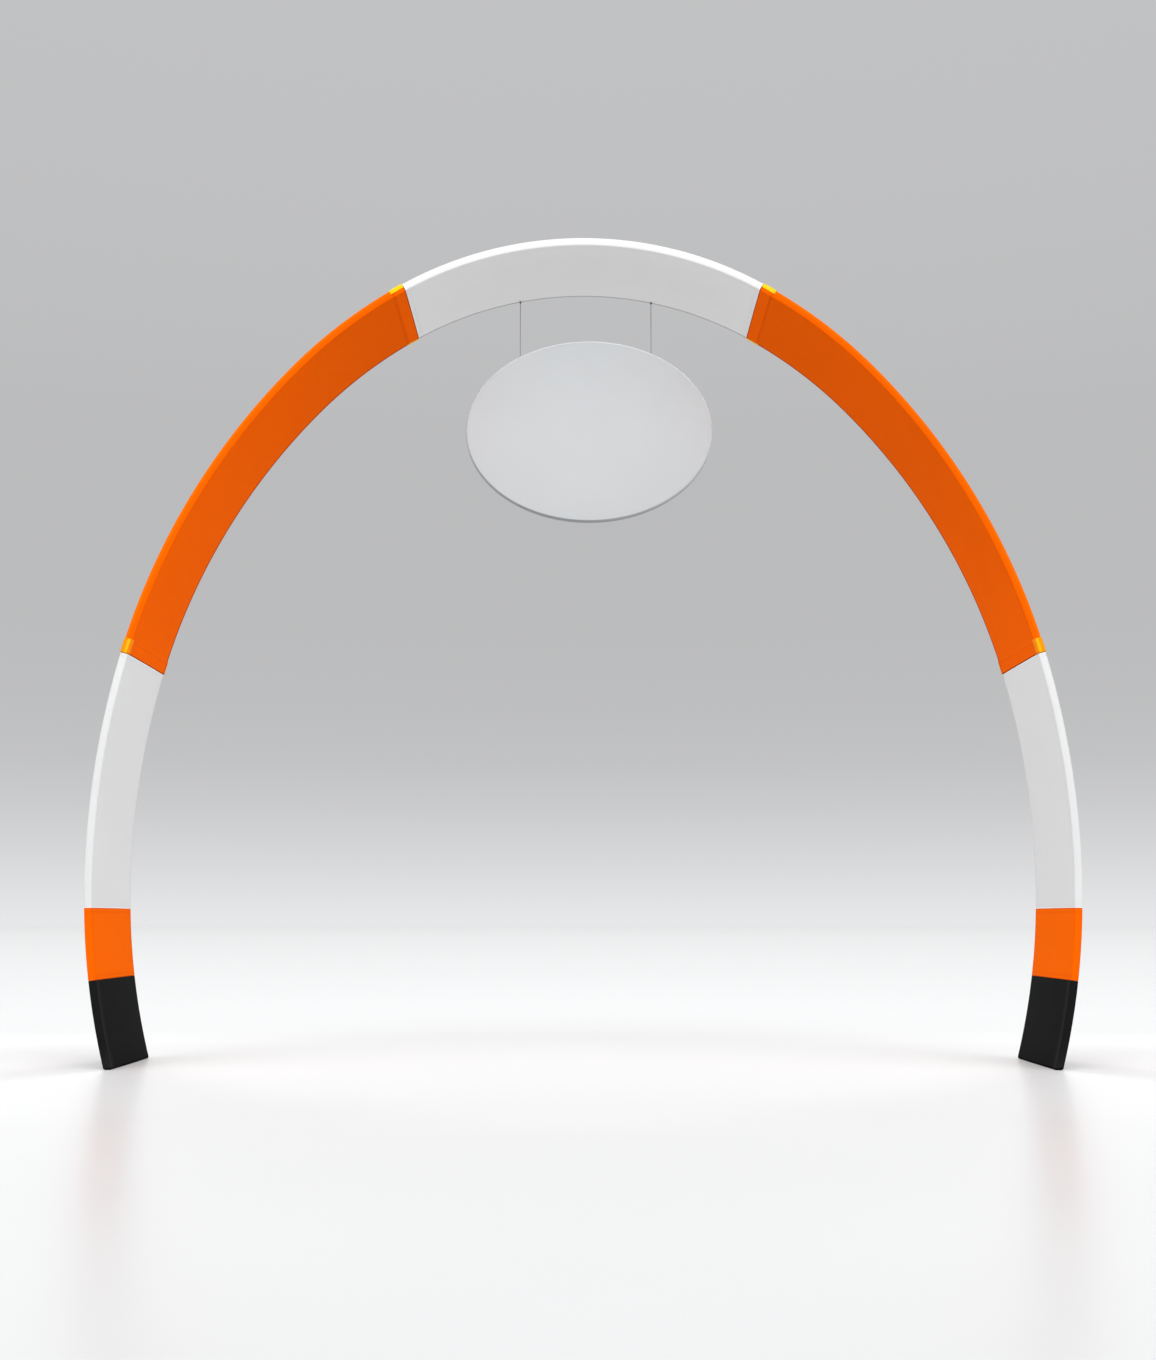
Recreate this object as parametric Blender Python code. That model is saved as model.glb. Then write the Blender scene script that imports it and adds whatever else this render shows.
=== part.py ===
"""Banner arch: a broad flat band of cloth sleeves bent into a standing horseshoe hoop.

The band is 0.66 m deep and 40 mm thick. Its broad faces look out of the hoop and into the
passage, and its narrow edges look forwards (-Y) and backwards (+Y). From the top down, each
half is the crown panel, an arm panel, a leg panel, a cuff and a foot. An oval sign board hangs
from two lines at the back edge of the crown. Metres, +Z up, the floor at Z = 0.
"""
import math

import bmesh
import bpy
from mathutils import Vector

# The hoop, measured on the outer face of the band
ARCH_TOP = 4.275
STRETCHES = (
    # name, length along the outer face, radius of the outer face
    ("crown_half", 0.980, 1.900),
    ("arm_upper", 0.700, 2.460),
    ("arm_lower", 1.750, 3.475),
    ("leg", 1.310, 4.320),
    ("cuff", 0.365, 3.670),
    ("foot", 0.500, 3.670),
)

# The band's section
BAND_DEPTH = 0.660
BAND_THICKNESS = 0.040
CORNER_RADIUS = 0.007
CORNER_STEPS = 2
FACE_BOW = 0.003          # the stretched cloth leans this far towards the passage at mid depth
FACE_MARGIN = 0.030       # flat strip of each broad face beside the narrow edges
BOW_PLACES = (-1.0, -0.5, 0.0, 0.5, 1.0)

# Sleeve ends
PIECE_GAP = 0.0003        # clearance between pieces that touch on the real arch
END_ROLL = 0.002          # the cloth rolls over by this much at a sleeve's end
HEM_LENGTH = 0.070        # arm hems, turned and doubled
HEM_PROUD = 0.0015
HEM_STEP = 0.003
RING_SPACING = 0.100      # longest step between two rings along the band

# Feet
FOOT_BANDS = 4            # rows of faces between a foot's top and its sole
SOLE_RADIUS = 0.009
SOLE_STEPS = 3
SOLE_CORNER_RADIUS = 0.001

# Yellow keeper tabs on the edges of the arm hems
TAB_THICKNESS = 0.003
TAB_INSET = 0.004         # from the sleeve's end and from the hem's step
TAB_LIP = 0.012

# Sign board and its lines
SIGN_WIDTH = 1.372
SIGN_HEIGHT = 1.027
SIGN_THICKNESS = 0.045
SIGN_CENTRE_X = 0.035
SIGN_CENTRE_Z = 3.450
SIGN_EDGE_RADIUS = 0.008
SIGN_EDGE_STEPS = 3
SIGN_SIDES = 96
LINE_FROM_BACK = 0.0225   # from the band's back edge to the lines
LINE_DIAMETER = 0.005
LINE_LEFT_X = -0.349
LINE_RIGHT_X = 0.383
LINE_STEP = 0.015
KNOT_WIDTH = 0.013
KNOT_HEIGHT = 0.011
KNOT_SIDES = 12
KNOT_RINGS = 7

COLOURS = {
    # name: base colour, roughness
    "white_cloth": ((0.860, 0.860, 0.855), 0.75),
    "orange_cloth": ((0.950, 0.150, 0.004), 0.72),
    "black_shoe": ((0.020, 0.020, 0.021), 0.55),
    "yellow_webbing": ((0.950, 0.560, 0.012), 0.65),
    "sign_face": ((0.660, 0.665, 0.670), 0.60),
    "line_grey": ((0.330, 0.330, 0.335), 0.60),
}


def clear_scene():
    for obj in list(bpy.data.objects):
        bpy.data.objects.remove(obj, do_unlink=True)


def make_material(name):
    colour, roughness = COLOURS[name]
    material = bpy.data.materials.new(name)
    material.use_nodes = True
    shader = material.node_tree.nodes["Principled BSDF"]
    shader.inputs["Base Color"].default_value = (*colour, 1.0)
    shader.inputs["Roughness"].default_value = roughness
    shader.inputs["Metallic"].default_value = 0.0
    return material


def outline_arcs():
    """One record for each stretch of the right half, from the top down.

    A point of the outer face at angle a from the upward vertical is at the arc's centre
    plus radius times (sin a, cos a), and a is also how far the band has turned downwards.
    """
    arcs = []
    start, angle = 0.0, 0.0
    x, z = 0.0, ARCH_TOP
    for name, length, radius in STRETCHES:
        arc = {
            "name": name, "start": start, "end": start + length, "radius": radius,
            "angle": angle,
            "x": x - radius * math.sin(angle), "z": z - radius * math.cos(angle),
        }
        arcs.append(arc)
        start += length
        angle += length / radius
        x = arc["x"] + radius * math.sin(angle)
        z = arc["z"] + radius * math.cos(angle)
    return arcs


ARCS = outline_arcs()
JOINT = {arc["name"]: arc["start"] for arc in ARCS}


def arc_at(distance):
    for arc in ARCS:
        if distance <= arc["end"]:
            return arc
    return ARCS[-1]


def band_point(distance, y, inwards, side=1.0):
    """The point at a distance along the outer face, y deep and inwards from that face.

    A negative distance lies on the other half, and side -1 mirrors the whole.
    """
    arc = arc_at(abs(distance))
    angle = arc["angle"] + (abs(distance) - arc["start"]) / arc["radius"]
    reach = arc["radius"] - inwards
    x = arc["x"] + reach * math.sin(angle)
    return Vector((side * math.copysign(x, distance), y, arc["z"] + reach * math.cos(angle)))


def quarter_turn(centre, radius, first_degrees, steps):
    """Points of a rounded corner, as (y, inwards) pairs."""
    points = []
    for step in range(steps + 1):
        turn = math.radians(first_degrees + 90.0 * step / steps)
        points.append((centre[0] + radius * math.cos(turn), centre[1] + radius * math.sin(turn)))
    return points


def band_section(grow):
    """The band's outline as (y, inwards) pairs, grown outwards by a given amount."""
    corner_y = BAND_DEPTH / 2 - CORNER_RADIUS
    near, far = CORNER_RADIUS, BAND_THICKNESS - CORNER_RADIUS
    radius = CORNER_RADIUS + grow
    bow_half = BAND_DEPTH / 2 - FACE_MARGIN

    def face(inwards, direction):
        return [
            (direction * place * bow_half, inwards + FACE_BOW * (1.0 - place * place))
            for place in BOW_PLACES
        ]

    loop = quarter_turn((-corner_y, near), radius, 180.0, CORNER_STEPS)
    loop += face(-grow, 1.0)
    loop += quarter_turn((corner_y, near), radius, 270.0, CORNER_STEPS)
    loop += quarter_turn((corner_y, far), radius, 0.0, CORNER_STEPS)
    loop += face(BAND_THICKNESS + grow, -1.0)
    loop += quarter_turn((-corner_y, far), radius, 90.0, CORNER_STEPS)
    return loop


def loft(name, rings, material):
    """A closed body through rings of points, with a flat cap on the first and the last."""
    bm = bmesh.new()
    previous = None
    for ring in rings:
        verts = [bm.verts.new(point) for point in ring]
        edges = [bm.edges.new((verts[i - 1], verts[i])) for i in range(len(verts))]
        if previous is None:
            bmesh.ops.contextual_create(bm, geom=edges)
        else:
            for i in range(len(verts)):
                bm.faces.new((previous[i - 1], previous[i], verts[i], verts[i - 1]))
        previous = verts
    bmesh.ops.contextual_create(bm, geom=edges)
    bmesh.ops.recalc_face_normals(bm, faces=bm.faces)
    return add_object(name, bm, material)


def add_object(name, bm, material, smooth_below=40.0):
    mesh = bpy.data.meshes.new(name)
    bm.to_mesh(mesh)
    bm.free()
    mesh.shade_smooth()
    mesh.set_sharp_from_angle(angle=math.radians(smooth_below))
    mesh.materials.append(material)
    obj = bpy.data.objects.new(name, mesh)
    bpy.context.scene.collection.objects.link(obj)
    return obj


def evenly(start, end, spacing):
    """Distances from start to end, both included, no further apart than the spacing."""
    count = max(1, math.ceil((end - start) / spacing))
    return [start + (end - start) * i / count for i in range(count + 1)]


def sleeve_stations(start, end, hemmed):
    """(distance, grow) pairs for the rings of one sleeve."""
    first, last = start + PIECE_GAP / 2, end - PIECE_GAP / 2
    proud = HEM_PROUD if hemmed else 0.0
    stations = [(first, proud - END_ROLL), (first + END_ROLL, proud)]
    inner_first, inner_last = first + END_ROLL, last - END_ROLL
    if hemmed:
        stations.append((first + HEM_LENGTH, HEM_PROUD))
        inner_first = first + HEM_LENGTH + HEM_STEP
        inner_last = last - HEM_LENGTH - HEM_STEP
        stations.append((inner_first, 0.0))
    breaks = [inner_first]
    breaks += [arc["start"] for arc in ARCS if inner_first < arc["start"] < inner_last]
    breaks.append(inner_last)
    for low, high in zip(breaks, breaks[1:]):
        stations += [(distance, 0.0) for distance in evenly(low, high, RING_SPACING)[1:]]
    if hemmed:
        stations.append((last - HEM_LENGTH, HEM_PROUD))
        stations.append((last - END_ROLL, HEM_PROUD))
    stations.append((last, proud - END_ROLL))
    return stations


def make_sleeve(name, start, end, side, material, hemmed=False):
    rings = [
        [band_point(distance, y, inwards, side) for y, inwards in band_section(grow)]
        for distance, grow in sleeve_stations(start, end, hemmed)
    ]
    return loft(name, rings, material)


def make_foot(name, side, material):
    """The last stretch of the band, cut level with the floor, with a rounded sole edge."""
    arc = ARCS[-1]

    def drop_to(height, y, inwards):
        reach = arc["radius"] - inwards
        angle = math.acos((height - arc["z"]) / reach)
        return Vector((side * (arc["x"] + reach * math.sin(angle)), y, height))

    top = arc["start"] + PIECE_GAP / 2
    rings = []
    for distance, grow in ((top, -END_ROLL), (top + END_ROLL, 0.0)):
        rings.append([band_point(distance, y, i, side) for y, i in band_section(grow)])
    upper = rings[-1]
    sole_start = [drop_to(SOLE_RADIUS, y, i) for y, i in band_section(0.0)]
    for step in range(1, FOOT_BANDS):
        share = step / FOOT_BANDS
        ring = []
        for point, low, (y, inwards) in zip(upper, sole_start, band_section(0.0)):
            height = point.z + (low.z - point.z) * share
            ring.append(drop_to(height, y, inwards))
        rings.append(ring)
    rings.append(sole_start)
    for step in range(1, SOLE_STEPS + 1):
        turn = math.radians(90.0 * step / SOLE_STEPS)
        height = SOLE_RADIUS * (1.0 - math.sin(turn))
        inset = min(SOLE_RADIUS * (1.0 - math.cos(turn)), CORNER_RADIUS - SOLE_CORNER_RADIUS)
        rings.append([drop_to(height, y, i) for y, i in band_section(-inset)])
    return loft(name, rings, material)


def tab_path(offset, whole_edge):
    """A path around the front edge of an arm hem, as (y, inwards) pairs."""
    corner_y = BAND_DEPTH / 2 - CORNER_RADIUS
    near, far = CORNER_RADIUS, BAND_THICKNESS - CORNER_RADIUS
    radius = CORNER_RADIUS + offset
    path = [(-corner_y + TAB_LIP, -offset)]
    path += quarter_turn((-corner_y, near), radius, 180.0, CORNER_STEPS)[::-1]
    if whole_edge:
        path += quarter_turn((-corner_y, far), radius, 90.0, CORNER_STEPS)[::-1]
        path.append((-corner_y + TAB_LIP, BAND_THICKNESS + offset))
    else:
        path.append((-BAND_DEPTH / 2 - offset, BAND_THICKNESS / 2))
    return path


def make_tab(name, hem_start, side, at_back, whole_edge, material):
    """Webbing folded over one edge of the band, over the length of a hem."""
    inner = tab_path(HEM_PROUD + PIECE_GAP, whole_edge)
    outer = tab_path(HEM_PROUD + PIECE_GAP + TAB_THICKNESS, whole_edge)
    section = inner + outer[::-1]
    turn_y = -1.0 if at_back else 1.0
    first = hem_start + TAB_INSET
    last = hem_start + HEM_LENGTH - TAB_INSET
    rings = [
        [band_point(distance, turn_y * y, inwards, side) for y, inwards in section]
        for distance in (first, last)
    ]
    return loft(name, rings, material)


def make_sign(name, material):
    """An oval board with rounded edges, upright, its broad faces to the front and back."""
    centre = Vector((SIGN_CENTRE_X, BAND_DEPTH / 2 - LINE_FROM_BACK, SIGN_CENTRE_Z))
    profile = []
    for step in range(SIGN_EDGE_STEPS + 1):
        turn = math.radians(90.0 * step / SIGN_EDGE_STEPS)
        inset = SIGN_EDGE_RADIUS * (1.0 - math.sin(turn))
        depth = SIGN_THICKNESS / 2 - SIGN_EDGE_RADIUS * (1.0 - math.cos(turn))
        profile.append((-depth, inset))
    profile += [(-depth, inset) for depth, inset in reversed(profile)]
    rings = []
    for depth, inset in profile:
        ring = []
        for i in range(SIGN_SIDES):
            turn = 2.0 * math.pi * i / SIGN_SIDES
            across = (SIGN_WIDTH / 2 - inset) * math.cos(turn)
            up = (SIGN_HEIGHT / 2 - inset) * math.sin(turn)
            ring.append(centre + Vector((across, depth, up)))
        rings.append(ring)
    return loft(name, rings, material)


def knot_seat(x):
    """The height of a knot's middle when it is pulled up against the crown's sloping soffit."""
    arc = ARCS[0]
    radius = arc["radius"] - BAND_THICKNESS
    rise = math.sqrt(radius ** 2 - x ** 2)
    chord_sag = RING_SPACING ** 2 / (8.0 * radius)
    reach = math.hypot(KNOT_HEIGHT / 2, KNOT_WIDTH / 2 * x / rise)
    return arc["z"] + rise - chord_sag - reach - PIECE_GAP


def line_foot(x):
    """The height of a line's lower end where it meets the sign board's sloping rim."""
    share = (x - SIGN_CENTRE_X) / (SIGN_WIDTH / 2)
    rise = math.sqrt(1.0 - share ** 2)
    slope = SIGN_HEIGHT / SIGN_WIDTH * abs(share) / rise
    return SIGN_CENTRE_Z + SIGN_HEIGHT / 2 * rise + LINE_DIAMETER / 2 * slope + PIECE_GAP


def make_knot(name, x, material):
    """The knot that stops a line at the crown."""
    bm = bmesh.new()
    bmesh.ops.create_uvsphere(
        bm, u_segments=KNOT_SIDES, v_segments=KNOT_RINGS, radius=KNOT_WIDTH / 2)
    bmesh.ops.scale(bm, vec=(1.0, 1.0, KNOT_HEIGHT / KNOT_WIDTH), verts=bm.verts)
    centre = Vector((x, BAND_DEPTH / 2 - LINE_FROM_BACK, knot_seat(x)))
    bmesh.ops.translate(bm, vec=centre, verts=bm.verts)
    add_object(name, bm, material, smooth_below=60.0)
    return centre.z - KNOT_HEIGHT / 2


def make_line(name, x, top, material):
    """A taut line from under its knot down to the sign board's rim."""
    bottom = line_foot(x)
    curve = bpy.data.curves.new(name, "CURVE")
    curve.dimensions = "3D"
    curve.bevel_depth = LINE_DIAMETER / 2
    curve.bevel_resolution = 2
    curve.use_fill_caps = True
    heights = evenly(0.0, top - PIECE_GAP - bottom, LINE_STEP)
    spline = curve.splines.new("POLY")
    spline.points.add(len(heights) - 1)
    for point, height in zip(spline.points, heights):
        point.co = (x, BAND_DEPTH / 2 - LINE_FROM_BACK, bottom + height, 1.0)
    curve.materials.append(material)
    obj = bpy.data.objects.new(name, curve)
    bpy.context.scene.collection.objects.link(obj)
    return obj


def main():
    clear_scene()
    materials = {name: make_material(name) for name in COLOURS}
    white, orange = materials["white_cloth"], materials["orange_cloth"]

    arm_start, arm_end = JOINT["arm_upper"], JOINT["leg"]
    make_sleeve("crown_panel", -arm_start, arm_start, 1.0, white)
    for word, side in (("left", -1.0), ("right", 1.0)):
        make_sleeve("arm_panel_" + word, arm_start, arm_end, side, orange, hemmed=True)
        make_sleeve("leg_panel_" + word, JOINT["leg"], JOINT["cuff"], side, white)
        make_sleeve("cuff_" + word, JOINT["cuff"], JOINT["foot"], side, orange)
        make_foot("foot_" + word, side, materials["black_shoe"])
        hems = (("upper", arm_start), ("lower", arm_end - HEM_LENGTH))
        for end_word, hem_start in hems:
            for edge_word, at_back in (("front", False), ("back", True)):
                whole_edge = at_back or end_word == "lower"
                make_tab("tab_{}_{}_{}".format(end_word, edge_word, word), hem_start, side,
                         at_back, whole_edge, materials["yellow_webbing"])

    make_sign("sign_board", materials["sign_face"])
    for word, x in (("left", LINE_LEFT_X), ("right", LINE_RIGHT_X)):
        knot_bottom = make_knot("line_knot_" + word, x, materials["line_grey"])
        make_line("hang_line_" + word, x, knot_bottom, materials["line_grey"])


main()
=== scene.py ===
"""Looks of the banner arch: cloth sleeves, webbing tabs, end shoes, sign board and its lines.

The hoop is a flat band seen from the front (-Y). Its broad faces look out of the hoop and into
the passage, and its narrow edges look forwards and backwards. Metres, +Z up, the floor at Z = 0.
"""
import math

import bmesh
import bpy
from mathutils import Matrix, Vector


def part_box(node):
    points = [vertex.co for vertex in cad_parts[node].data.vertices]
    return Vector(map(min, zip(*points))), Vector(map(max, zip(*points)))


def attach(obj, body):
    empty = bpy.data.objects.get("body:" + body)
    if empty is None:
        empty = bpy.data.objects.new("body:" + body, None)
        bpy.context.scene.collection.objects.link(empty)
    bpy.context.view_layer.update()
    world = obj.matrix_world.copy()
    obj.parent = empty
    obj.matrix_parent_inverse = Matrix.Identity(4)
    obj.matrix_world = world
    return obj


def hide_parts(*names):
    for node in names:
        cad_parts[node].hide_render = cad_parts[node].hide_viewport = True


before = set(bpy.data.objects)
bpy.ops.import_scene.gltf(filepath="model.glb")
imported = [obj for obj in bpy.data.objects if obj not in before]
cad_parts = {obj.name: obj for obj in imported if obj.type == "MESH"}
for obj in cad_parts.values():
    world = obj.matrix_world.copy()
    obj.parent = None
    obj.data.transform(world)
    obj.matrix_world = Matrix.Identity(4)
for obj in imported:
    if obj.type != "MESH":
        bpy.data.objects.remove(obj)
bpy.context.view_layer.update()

# The hoop's outline on the outer face of the band, as the solids have it
ARCH_TOP = 4.275
STRETCHES = (
    # name, length along the outer face, radius of the outer face
    ("crown_half", 0.980, 1.900),
    ("arm_upper", 0.700, 2.460),
    ("arm_lower", 1.750, 3.475),
    ("leg", 1.310, 4.320),
    ("cuff", 0.365, 3.670),
    ("foot", 0.500, 3.670),
)
BAND_DEPTH = 0.660
BAND_THICKNESS = 0.040
CORNER_RADIUS = 0.007
CORNER_AT = BAND_DEPTH / 2 - CORNER_RADIUS
FACE_BOW = 0.003
FACE_MARGIN = 0.030
EDGE_BULGE = 0.0012
PIECE_GAP = 0.0003
HEM_LENGTH = 0.070
HEM_PROUD = 0.0015
HEM_STEP = 0.004

# The camera, at the photograph's place
CAMERA_PLACE = (0.0, -7.907, 0.7416)
CAMERA_PITCH = 4.962
CAMERA_YAW = 0.18
CAMERA_LENS = 40.0
CAMERA_SHIFT_Y = 0.08
CAMERA_SEES_TO = 500.0

# The mesh of a sleeve
CLOTH_THICKNESS = 0.0012
COLUMN_STEP = 0.016
ROW_STEP = 0.018
CORNER_CUTS = 4
EDGE_CUTS = 4
SEAM_COLUMNS = (0.003, 0.006, 0.009, 0.014)

# The sewing and knit of a sleeve
KNIT_PITCH = 0.0021
KNIT_TONE = 0.16
KNIT_BUMP = 0.0003
STITCH_PITCH = 0.0075
STITCH_WIDTH = 0.0018
STITCH_SHADE = 0.8
STITCH_BUMP = 0.0005
SEAM_FROM_CORNER = 0.007
ROW_FROM_FOLD = 0.006
BACK_SHADE_WIDTH = 0.012
FOLD_REACH = 0.0085
FOLD_SHADE = 0.4
END_FOLD = 0.0045
PLAIN_HEM = 0.024
NEAR_HEM_SHOWS, FAR_HEM_SHOWS = 1.0, 0.12
OFF_SEAM, OFF_BACK = -0.01, 1.0
# Share of the painted light on a hemmed sleeve's front edge, and how far in from the outer face
# it reaches
HEMMED_RIM_LIGHT = 0.5
HEMMED_RIM_INWARDS = 0.45 * BAND_THICKNESS

# Webbing tabs
TAB_THICKNESS = 0.0022
TAB_TO_JOINT = 0.0015
TAB_PAST_HEM = 0.008
TAB_PAST_MIDDLE = 0.002
TAB_LIP = 0.012
TAB_STEP = 0.006
TAB_SETTLES = HEM_STEP + 0.002
WEBBING_BREAKS = (0.47, 0.80)
WEBBING_RIB = 0.0026
WEBBING_TWILL = 0.0052
WEBBING_TONE = 0.12
WEBBING_BUMP = 0.0004
TAB_ROW_INSET = 0.007
TAB_STITCH_PITCH = 0.005
TAB_STITCH_SHADE = 0.5

# End shoes
SHOE_STEP = 0.03
SHOE_SHARP_DEGREES = 40.0
SHOE_ROUGHNESS = 0.62
SOLE_BEVEL = 0.0115
# How much shade is painted along the rounded sole
SOLE_SHADE = 0.75
GRAIN_SCALE = 700.0
GRAIN_BUMP = 0.0004
RUB_HEIGHT = 0.12
RUB_SCALE = 38.0
RUB_SHARE = 0.05
RUB_ROUGHER = 0.25
RUB_GREY = (0.12, 0.12, 0.12)
# A highlight painted as a paler band down the shoe's face, by its front edge
HIGHLIGHT_FROM_MIDDLE = 0.312
HIGHLIGHT_REACH = 0.050
HIGHLIGHT_GAIN = 1.6

# Sign board
SIGN_SIDES = 180
SIGN_BEVEL = 0.011
SIGN_INSET = 0.02
SIGN_SHARP_DEGREES = 35.0
SKIN_DEEP = 0.0006
SKIN_LIGHT_LOW, SKIN_LIGHT_RISE = 0.92, 0.19
TRIM_HIGHLIGHT_LOW, TRIM_HIGHLIGHT_RISE, TRIM_HIGHLIGHT_TO_RIGHT = 0.22, 0.74, 0.24
TOOTH_SCALE = 420.0
TOOTH_BUMP = 0.0003

# Lines and knots
LINE_DIAMETER = 0.005
LINE_STEP = 0.015
STRAND_PITCH = 0.006
STRAND_TONE = 0.3
STRAND_BUMP = 0.0006
KNOT_TURNS = 3.0
KNOT_PINCH = 0.16

# Colours, linear
WHITE = (0.742, 0.752, 0.758)
WHITE_EDGE_LIT = (0.750, 0.749, 0.748)
WHITE_END_HIGHLIGHT = (0.930, 0.935, 0.940)
WHITE_THREAD = (0.700, 0.710, 0.718)
WHITE_BACK_SHADE = (0.030, 0.030, 0.032)
ORANGE = (0.885, 0.117, 0.0006)
ORANGE_HEM = (0.955, 0.126, 0.0008)
ORANGE_END_SHADE = (0.300, 0.032, 0.0010)
ORANGE_THREAD = (0.600, 0.062, 0.0010)
ORANGE_RIM_LIT = (0.960, 0.175, 0.0015)
ORANGE_BACK_SHADE = (0.300, 0.040, 0.0030)
CUFF_ORANGE = (0.960, 0.138, 0.0008)
CUFF_THREAD = (0.850, 0.105, 0.0010)
CUFF_END_SHADE = (0.800, 0.100, 0.0010)
CUFF_EDGE_SHADED = (0.925, 0.126, 0.0010)
YELLOW = (0.950, 0.580, 0.010)
AMBER = (0.850, 0.285, 0.003)
GOLD = (0.930, 0.455, 0.008)
TAWNY = (0.860, 0.230, 0.003)
DARK_AMBER = (0.580, 0.150, 0.003)
PALE_GOLD = (0.820, 0.560, 0.120)
BURNT_AMBER = (0.740, 0.150, 0.004)
BLACK = (0.0052, 0.0052, 0.0054)
SIGN_GREY = (0.554, 0.574, 0.586)
SIGN_TRIM_HIGHLIGHT = (0.880, 0.895, 0.905)
SIGN_SIDE_TRIM_HIGHLIGHT = (0.740, 0.900, 0.960)
SIGN_SIDE_SHADE = (0.330, 0.335, 0.340)
LINE_GREY = (0.300, 0.300, 0.310)
KNOT_GREY = (0.060, 0.060, 0.062)


def make_camera():
    """A camera low in front of the arch, tilted up a little."""
    data = bpy.data.cameras.new("camera")
    data.lens = CAMERA_LENS
    data.shift_y = CAMERA_SHIFT_Y
    data.clip_end = CAMERA_SEES_TO
    camera = bpy.data.objects.new("camera", data)
    camera.location = CAMERA_PLACE
    camera.rotation_euler = (math.radians(90.0 + CAMERA_PITCH), 0.0, math.radians(CAMERA_YAW))
    bpy.context.scene.collection.objects.link(camera)
    bpy.context.scene.camera = camera


# Node helpers

def new_node(tree, kind, **settings):
    node = tree.nodes.new(kind)
    for name, value in settings.items():
        setattr(node, name, value)
    return node


def feed(tree, socket, value):
    """Links a socket to another one, or sets it to a number or a colour."""
    if isinstance(value, bpy.types.NodeSocket):
        tree.links.new(value, socket)
    elif isinstance(value, tuple) and len(value) == 3 and socket.type == "RGBA":
        socket.default_value = (*value, 1.0)
    else:
        socket.default_value = value


def maths(tree, operation, *values, clamp=False):
    node = new_node(tree, "ShaderNodeMath", operation=operation, use_clamp=clamp)
    for socket, value in zip(node.inputs, values):
        feed(tree, socket, value)
    return node.outputs[0]


def blend(tree, factor, first, second, mode="MIX"):
    """A mix of two colours by a factor. The node's colours come after its other sockets."""
    first_socket, second_socket, result_socket = 6, 7, 2
    node = new_node(tree, "ShaderNodeMix", data_type="RGBA", blend_type=mode)
    feed(tree, node.inputs["Factor"], factor)
    feed(tree, node.inputs[first_socket], first)
    feed(tree, node.inputs[second_socket], second)
    return node.outputs[result_socket]


def noise(tree, vector, scale, detail=2.0, roughness=0.5):
    node = new_node(tree, "ShaderNodeTexNoise")
    feed(tree, node.inputs["Vector"], vector)
    feed(tree, node.inputs["Scale"], scale)
    feed(tree, node.inputs["Detail"], detail)
    feed(tree, node.inputs["Roughness"], roughness)
    return node.outputs["Fac"]


def bump(tree, height, distance, strength=1.0, normal=None):
    node = new_node(tree, "ShaderNodeBump")
    feed(tree, node.inputs["Strength"], strength)
    feed(tree, node.inputs["Distance"], distance)
    feed(tree, node.inputs["Height"], height)
    if normal is not None:
        feed(tree, node.inputs["Normal"], normal)
    return node.outputs["Normal"]


def new_group(name, inputs, outputs):
    tree = bpy.data.node_groups.new(name, "ShaderNodeTree")
    for socket_name, kind in inputs:
        tree.interface.new_socket(socket_name, in_out="INPUT", socket_type=kind)
    for socket_name, kind in outputs:
        tree.interface.new_socket(socket_name, in_out="OUTPUT", socket_type=kind)
    enter = tree.nodes.new("NodeGroupInput")
    leave = tree.nodes.new("NodeGroupOutput")
    return tree, enter.outputs, leave.inputs


def use_group(tree, group, **values):
    node = new_node(tree, "ShaderNodeGroup", node_tree=group)
    for name, value in values.items():
        feed(tree, node.inputs[name], value)
    return node.outputs


FLOAT = "NodeSocketFloat"
THREAD_SHARE = 0.68


def knit_group():
    """Fine ribs and courses of a knitted cloth, from metres around and along the sleeve."""
    tree, enter, leave = new_group(
        "knit", [("Around", FLOAT), ("Along", FLOAT), ("Pitch", FLOAT)], [("Height", FLOAT)])
    turns = maths(tree, "DIVIDE", 2.0 * math.pi, enter["Pitch"])
    ribs = maths(tree, "SINE", maths(tree, "MULTIPLY", enter["Around"], turns))
    courses = maths(tree, "SINE", maths(tree, "MULTIPLY", enter["Along"], turns))
    both = maths(tree, "MULTIPLY", ribs, courses)
    feed(tree, leave["Height"], maths(tree, "MULTIPLY_ADD", both, 0.25, 0.5))
    return tree


def stitch_group():
    """A row of stitches: distance is across the row, along runs with it."""
    tree, enter, leave = new_group(
        "stitch_row",
        [("Distance", FLOAT), ("Along", FLOAT), ("Offset", FLOAT), ("Width", FLOAT),
         ("Pitch", FLOAT)],
        [("Mask", FLOAT)])
    off = maths(tree, "ABSOLUTE", maths(tree, "SUBTRACT", enter["Distance"], enter["Offset"]))
    across = maths(tree, "LESS_THAN", off, maths(tree, "MULTIPLY", enter["Width"], 0.5))
    beat = maths(tree, "FRACT", maths(tree, "DIVIDE", enter["Along"], enter["Pitch"]))
    thread = maths(tree, "LESS_THAN", beat, THREAD_SHARE)
    feed(tree, leave["Mask"], maths(tree, "MULTIPLY", across, thread))
    return tree


def mottle_group():
    """Slow, cloudy changes of tone over a piece, around 1."""
    tree, enter, leave = new_group(
        "mottle", [("Scale", FLOAT), ("Spread", FLOAT)], [("Tone", FLOAT)])
    place = new_node(tree, "ShaderNodeTexCoord").outputs["Object"]
    cloud = noise(tree, place, enter["Scale"], detail=3.0)
    centred = maths(tree, "SUBTRACT", cloud, 0.5)
    feed(tree, leave["Tone"], maths(tree, "MULTIPLY_ADD", centred, enter["Spread"], 1.0))
    return tree


KNIT = knit_group()
STITCH = stitch_group()
MOTTLE = mottle_group()


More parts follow.
